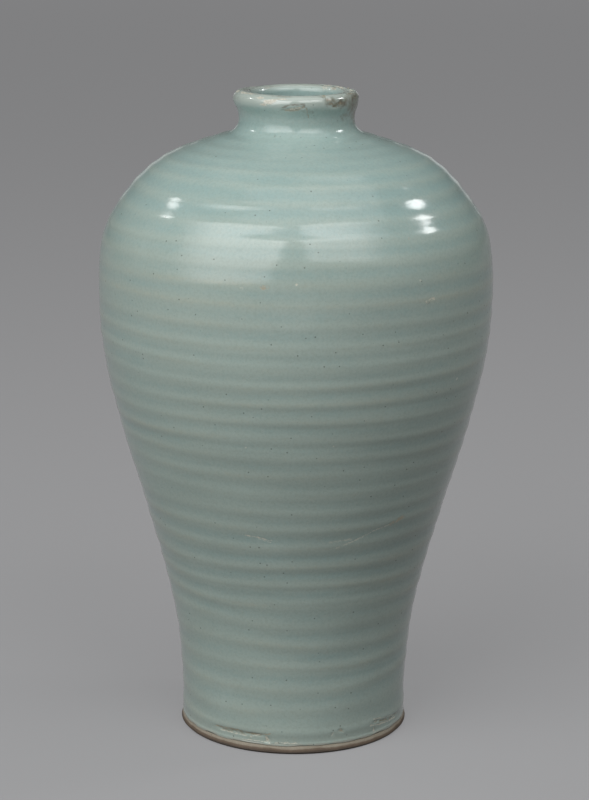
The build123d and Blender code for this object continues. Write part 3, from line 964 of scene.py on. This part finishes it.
def glaze_relief(s):
    """Orange peel and pinholes of a thick glaze."""
    normal = s.bump(s.noise(PEEL), PEEL_BUMP)
    holes, _ = s.cells(PINHOLE_SCALE)
    return s.bump(s.step(holes, *PINHOLE_EDGE), PINHOLE_BUMP, normal)


def stained(s, colour):
    """The glaze with olive and brown grime where the mesh is stained."""
    grime = s.mix(s.step(s.noise(GRIME_PATCHES), *GRIME_EDGE), OLIVE, GRIME)
    patchy = s.math("ADD", s.attribute("stain"), s.swing(s.noise(STAIN_PATCHES), STAIN_SWING))
    cover = s.math("MULTIPLY", s.step(patchy, *STAIN_EDGE), s.step(s.attribute("stain"), *STAIN_START))
    return s.laid_over(colour, grime, cover, STAIN_SHARE)


def flat_point(radius, azimuth, height):
    """Point on the wall unrolled at the given radius, in metres."""
    return Vector((radius * math.radians(azimuth), height, 0.0)) * MM


def scar_cover(s, points, width, place):
    """One on a line through the points, fading to nought past its width."""
    starts, ends = points[:-1], points[1:]
    if not ends:
        distance = s.vector("DISTANCE", {0: place, 1: points[0]}, "Value")
    else:
        distance = s.distance_to(starts[0], ends[0], place)
    for start, end in zip(starts[1:], ends[1:]):
        distance = s.math("MINIMUM", distance, s.distance_to(start, end, place))
    return s.step(distance, *(share * width * MM for share in SCAR_FADE))


def scars_over(s, colour, zone):
    """The glaze with the zone's scars, and how far they cover it."""
    place = s.laid_flat(zone.radius)
    patchy = s.step(s.noise(SCAR_PATCHES), *SCAR_EDGE)
    scarred = 0.0
    for scar in zone.scars:
        points = [flat_point(zone.radius, *point) for point in scar.points]
        cover = s.math("MULTIPLY", scar_cover(s, points, scar.width, place), patchy)
        cover = s.math("MULTIPLY", cover, scar.strength)
        colour = s.mix(cover, colour, scar.colour)
        scarred = s.math("MAXIMUM", cover, scarred)
    return colour, scarred


def worn_bare(s, colour):
    """The glaze worn to cream or brown clay, how bare it is, and the grain of the clay."""
    grain = s.noise(WORN_GRAIN)
    dust = s.noise(WORN_DUST)
    swings = s.math("ADD", s.swing(grain, BARE_GRAIN_SWING), s.swing(dust, BARE_DUST_SWING))
    bare = s.step(s.math("ADD", s.attribute("bare"), swings), *BARE_EDGE)
    bare = s.math("MULTIPLY", bare, BARE_SHARE)
    brown = s.math("ADD", s.attribute("brown"), s.swing(s.noise(BROWN_PATCHES), BROWN_SWING))
    cream = s.mix(s.step(dust, *CLAY_EDGE), DULL_CLAY, WORN_CLAY)
    rust = s.mix(s.step(grain, *CLAY_EDGE), DARK_CLAY, BROWN_CLAY)
    return s.mix(bare, colour, s.mix(s.step(brown, *BROWN_EDGE), cream, rust)), bare, grain


def celadon_material(zone):
    """Celadon with the scars of one part of the vase, worn to the clay where the mesh says so."""
    material, s = new_material(f"celadon_{zone.name}")
    colour = glaze_colour(s, s.attribute("pool"))
    colour = s.laid_over(colour, RIM_GLAZE, s.attribute("rim"), RIM_SHARE)
    # Drab rim top, with painted shade of the gap along its front edge
    colour = s.laid_over(colour, DRAB_GLAZE_AND_GAP_SHADE, s.attribute("mouth"), DRAB_AND_GAP_SHADE_SHARE)
    hem = s.math("MULTIPLY", s.attribute("hem"), s.step(s.noise(HEM_PATCHES), *HEM_EDGE))
    colour = s.laid_over(colour, HEM_GLAZE, hem, HEM_SHARE)
    colour = stained(s, glaze_specks(s, colour))
    colour, scarred = scars_over(s, colour, zone)
    colour, bare, grain = worn_bare(s, colour)

    worn = s.math("MAXIMUM", bare, scarred)
    polish = s.math("MULTIPLY", s.attribute("rim"), RIM_POLISH)
    roughness = s.math("SUBTRACT", glaze_roughness(s, CELADON_ROUGHNESS), polish)
    roughness = s.math("ADD", roughness, s.math("MULTIPLY", worn, WORN_ROUGHNESS), clamp=True)
    normal = s.bump(s.math("SUBTRACT", 1.0, worn), WORN_EDGE_BUMP, glaze_relief(s))
    normal = s.bump(s.math("MULTIPLY", grain, bare), WORN_GRAIN_BUMP, normal)
    s.surface(colour, roughness, normal, IOR=zone.index)
    return material


def base_glaze_material():
    """Celadon brushed thinly inside the foot ring."""
    material, s = new_material("base_glaze")
    colour = glaze_colour(s, s.math("ADD", BASE_POOL, s.swing(s.noise(BASE_DRIFTS), BASE_SWING)))
    roughness = glaze_roughness(s, BASE_ROUGHNESS)
    s.surface(glaze_specks(s, colour), roughness, glaze_relief(s), IOR=GLAZE_INDEX)
    return material


def sandy(s, pale, dull):
    """Fired clay: colour, grain and turning lines."""
    grain = s.noise(CLAY_GRAIN)
    lines = s.noise(TURNING_LINES)
    tones = s.math("MULTIPLY", s.noise(CLAY_TONES), TONES_WEIGHT)
    tone = s.math("ADD", s.math("MULTIPLY", grain, GRAIN_WEIGHT), tones)
    tone = s.math("ADD", tone, s.swing(lines, LINES_SWING))
    colour = s.mix(s.step(tone, *TONE_EDGE), dull, pale)
    return speckled(s, colour, CLAY_SPECKLES), grain, lines


def finish_clay(s, colour, grain, lines):
    roughness = s.math("ADD", CLAY_ROUGHNESS, s.math("MULTIPLY", grain, CLAY_ROUGHNESS_SPREAD))
    s.surface(colour, roughness, s.bump(lines, CLAY_LINES_BUMP, s.bump(grain, CLAY_GRAIN_BUMP)))


def stoneware_material():
    """Bare stoneware: buff beside the glaze, brown below it, and darkened on the edge that it stands on as
    painted shade of the floor contact.
    """
    material, s = new_material("stoneware")
    colour, grain, lines = sandy(s, BUFF, DULL_BUFF)
    level = s.math("ADD", s.height(), s.swing(s.noise(CLAY_TONES), FOOT_SWING * MM))
    # The brown band is the clay's own colour; the dark band below it is painted shade of the edge and the
    # floor contact
    for band, tints in ((BROWN_BAND, FOOT_BROWNS), (CONTACT_SHADE_BAND, FOOT_CONTACT_SHADES)):
        colour = s.mix(s.step(level, *(edge * MM for edge in band)), colour, s.mix(grain, *tints))
    finish_clay(s, colour, grain, lines)
    return material


def slip_material():
    material, s = new_material("luting_slip")
    finish_clay(s, *sandy(s, SLIP, DULL_SLIP))
    return material


def make_floor():
    """A wide pale floor that holds the shadow, lights the vase as plain grey and is clear from below."""
    mesh = bpy.data.meshes.new("floor")
    reach = FLOOR_RADIUS * MM
    turns = [2 * math.pi * i / FLOOR_SIDES for i in range(FLOOR_SIDES)]
    corners = [(reach * math.cos(turn), reach * math.sin(turn), -FLOOR_GAP * MM) for turn in turns]
    mesh.from_pydata(corners, [], [list(range(FLOOR_SIDES))])
    floor = bpy.data.objects.new("floor", mesh)
    bpy.context.scene.collection.objects.link(floor)
    material, s = new_material("pale_floor")
    paths = s.node("ShaderNodeLightPath").outputs
    mirrored = s.math("MAXIMUM", paths["Is Glossy Ray"], paths["Is Transmission Ray"])
    seen = s.math("MAXIMUM", paths["Is Camera Ray"], mirrored)
    paper = s.node("ShaderNodeBsdfDiffuse", {"Color": PAPER})
    glow = s.node("ShaderNodeEmission", {"Color": PAPER_GLOW})
    pale = s.node("ShaderNodeAddShader", {0: paper.outputs[0], 1: glow.outputs[0]})
    grey = s.node("ShaderNodeBsdfDiffuse", {"Color": FLOOR_GREY})
    both = s.node("ShaderNodeMixShader", {0: seen, 1: grey.outputs[0], 2: pale.outputs[0]})
    below = s.node("ShaderNodeNewGeometry").outputs["Backfacing"]
    clear = s.node("ShaderNodeBsdfTransparent")
    one_sided = s.node("ShaderNodeMixShader", {0: below, 1: both.outputs[0], 2: clear.outputs[0]})
    s.node("ShaderNodeOutputMaterial", {"Surface": one_sided.outputs[0]})
    mesh.materials.append(material)


def fade_softbox(light, bright_side):
    """Dim a soft box towards its far side and its lower edge."""
    light.use_nodes = True
    s = Shader(light.node_tree)
    place = s.node("ShaderNodeNewGeometry").outputs["Parametric"]
    sides = s.node("ShaderNodeSeparateXYZ", {0: place}).outputs
    inwards = sides["X"] if bright_side == "right" else s.math("SUBTRACT", 1.0, sides["X"])
    across = s.math("MAXIMUM", s.step(inwards, 0.0, 1.0 - EVEN_SHARE), FAR_SIDE_SHARE)
    inputs = {"Value": sides["Y"], "To Min": LOWER_EDGE_SHARE, "To Max": 1.0}
    down = s.node("ShaderNodeMapRange", inputs).outputs[0]
    glow = s.node("ShaderNodeEmission", {"Strength": s.math("MULTIPLY", across, down)})
    s.node("ShaderNodeOutputLight", {"Surface": glow.outputs[0]})


def make_light():
    """Two soft boxes in front, a lamp at each side, one above, three behind, and an even grey world."""
    target = Vector(LIT_POINT) * MM
    for lamp in LAMPS:
        light = bpy.data.lights.new(lamp.name, "AREA")
        light.shape = "RECTANGLE"
        light.size, light.size_y = lamp.width * MM, lamp.height * MM
        light.energy = lamp.power
        if lamp.bright_side:
            fade_softbox(light, lamp.bright_side)
        turn, rise = math.radians(lamp.azimuth), math.radians(lamp.elevation)
        way = Vector((math.sin(turn) * math.cos(rise), -math.cos(turn) * math.cos(rise), math.sin(rise)))
        stand = bpy.data.objects.new(lamp.name, light)
        stand.location = target + way * lamp.distance * MM
        aim = way.to_track_quat("Z", "Y").to_matrix()
        stand.rotation_euler = (aim @ Matrix.Rotation(math.radians(lamp.roll), 3, "Z")).to_euler()
        stand.visible_camera = False
        bpy.context.scene.collection.objects.link(stand)
    world = bpy.data.worlds.new("studio")
    world.use_nodes = True
    background = world.node_tree.nodes["Background"]
    background.inputs["Color"].default_value = WORLD_COLOUR
    background.inputs["Strength"].default_value = WORLD_LIGHT
    bpy.context.scene.world = world


def make_camera():
    camera = bpy.data.objects.new("camera", bpy.data.cameras.new("camera"))
    camera.data.lens = CAMERA_LENS
    camera.data.clip_start, camera.data.clip_end = (length * MM for length in CAMERA_CLIP)
    place = Matrix.Translation(Vector(CAMERA_PLACE) * MM)
    tilt = Matrix.Rotation(math.radians(CAMERA_PITCH), 4, "X")
    camera.matrix_world = place @ tilt @ Matrix.Rotation(math.radians(CAMERA_ROLL), 4, "Z")
    bpy.context.scene.collection.objects.link(camera)
    bpy.context.scene.camera = camera


def dress(piece, materials):
    for _ in range(len(piece.data.materials)):
        piece.data.materials.pop()
    for material in materials:
        piece.data.materials.append(material)


def stand_for(piece, node):
    """Let a modelled piece take the place of a packed one."""
    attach(piece, "root")
    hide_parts(node)


outline = Outline("outer_glaze")
surface = Surface(outline)

skin = make_celadon_skin(outline, surface)
stand_for(skin, "outer_glaze")
dress(skin, [celadon_material(zone) for zone in ZONES])

stoneware = stoneware_material()
neck_clay = make_neck_clay(outline, surface)
stand_for(neck_clay, "neck")
dress(neck_clay, [stoneware])
for name in ("lower_body", "middle_body", "shoulder"):
    dress(nodes[name], [stoneware])

slip = slip_material()
for name in ("waist_luting", "belly_luting", "neck_luting"):
    dress(nodes[name], [slip])

inside_skin = make_inside_skin()
stand_for(inside_skin, "inner_glaze")
dress(inside_skin, [celadon_material(INSIDE_ZONE)])
dress(nodes["base_glaze"], [base_glaze_material()])

make_floor()
make_light()
make_camera()
bpy.context.scene.view_settings.view_transform = "Standard"
